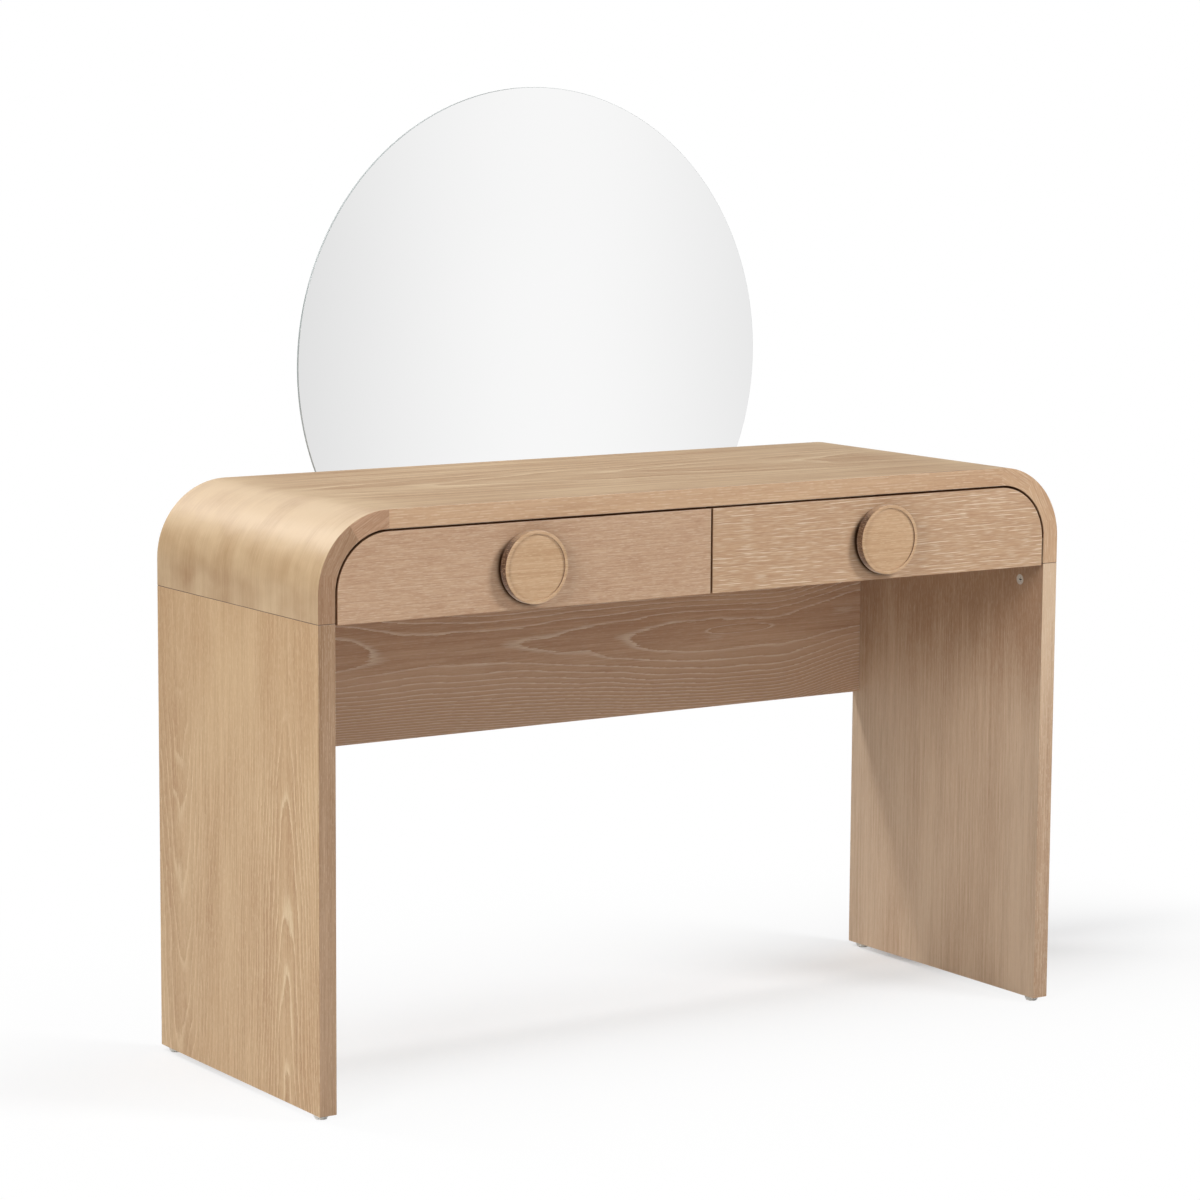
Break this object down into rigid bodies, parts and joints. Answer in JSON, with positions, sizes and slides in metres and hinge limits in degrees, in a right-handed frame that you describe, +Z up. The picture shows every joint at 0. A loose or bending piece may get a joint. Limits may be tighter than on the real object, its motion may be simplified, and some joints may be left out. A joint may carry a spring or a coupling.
{
  "type": "vanity desk",
  "caption": "Vanity desk with a waterfall top on panel legs, drawers with round knobs under the top, and a round frameless mirror that rises behind it.",
  "frame": {"origin": "on the floor, in the middle of the box round the whole desk with its knobs and mirror", "axes": "+X to the right of someone who sits at the desk, +Y from the drawer fronts towards the mirror, +Z up"},
  "size_m": [1.2, 0.49, 1.3],
  "materials": {
    "veneer": "pale brushed ash veneer, matt lacquer",
    "inner_veneer": "pale ash veneer, matt lacquer",
    "beech": "plain beech dowel",
    "box_board": "smooth pale board",
    "runner_steel": "zinc-plated steel sheet",
    "screw_steel": "zinc-plated steel",
    "zinc": "grey die-cast zinc",
    "brass": "turned brass",
    "nylon": "milky nylon",
    "mirror": "silvered float glass, polished edge",
    "adhesive_foam": "double-sided foam strip",
    "backing_board": "grey painted fibreboard"
  },
  "bodies": {
    "desk": {"top_shell": "veneer", "left_leg": "veneer", "right_leg": "veneer", "back_panel": "inner_veneer", "centre_partition": "inner_veneer", "wood_dowels": "beech", "cam_pins": "screw_steel", "cam_locks": "zinc", "partition_screws": "screw_steel", "glide_front_left": "nylon", "glide_front_right": "nylon", "glide_rear_left": "nylon", "glide_rear_right": "nylon", "glide_nails": "screw_steel", "left_case_rail_outer": "runner_steel", "left_case_rail_inner": "runner_steel", "right_case_rail_inner": "runner_steel", "right_case_rail_outer": "runner_steel", "case_rail_screws": "screw_steel", "mirror_glass": "mirror", "mirror_tape": "adhesive_foam", "mirror_backing": "backing_board", "mirror_upright_left": "inner_veneer", "mirror_upright_right": "inner_veneer", "mirror_spacer_left": "inner_veneer", "mirror_spacer_right": "inner_veneer", "mirror_bolts": "screw_steel", "mirror_bolt_sleeves": "brass", "mirror_screws": "screw_steel"},
    "left_slides": {"left_middle_rails": "runner_steel"},
    "right_slides": {"right_middle_rails": "runner_steel"},
    "left_drawer": {"left_drawer_front": "veneer", "left_box_front": "box_board", "left_box_back": "box_board", "left_box_outer_side": "box_board", "left_box_inner_side": "box_board", "left_box_floor": "box_board", "left_box_screws": "screw_steel", "left_front_screws": "screw_steel", "left_drawer_rail_outer": "runner_steel", "left_drawer_rail_inner": "runner_steel", "left_rail_screws": "screw_steel", "left_knob": "veneer", "left_knob_hub": "inner_veneer", "left_knob_screws": "screw_steel"},
    "right_drawer": {"right_drawer_front": "veneer", "right_box_front": "box_board", "right_box_back": "box_board", "right_box_outer_side": "box_board", "right_box_inner_side": "box_board", "right_box_floor": "box_board", "right_box_screws": "screw_steel", "right_front_screws": "screw_steel", "right_drawer_rail_outer": "runner_steel", "right_drawer_rail_inner": "runner_steel", "right_rail_screws": "screw_steel", "right_knob": "veneer", "right_knob_hub": "inner_veneer", "right_knob_screws": "screw_steel"}
  },
  "joints": [
    {"name": "left_drawer_slide", "type": "slide", "parent": "desk", "child": "left_drawer", "axis": [0, -1, 0], "range_m": [0, 0.3]},
    {"name": "left_runner_slide", "type": "slide", "parent": "desk", "child": "left_slides", "axis": [0, -1, 0], "range_m": [0, 0.15]},
    {"name": "right_drawer_slide", "type": "slide", "parent": "desk", "child": "right_drawer", "axis": [0, -1, 0], "range_m": [0, 0.3]},
    {"name": "right_runner_slide", "type": "slide", "parent": "desk", "child": "right_slides", "axis": [0, -1, 0], "range_m": [0, 0.15]}
  ],
  "couplings": [
    {"joint": "left_runner_slide", "follows": "left_drawer_slide", "ratio": 0.5},
    {"joint": "right_runner_slide", "follows": "right_drawer_slide", "ratio": 0.5}
  ]
}
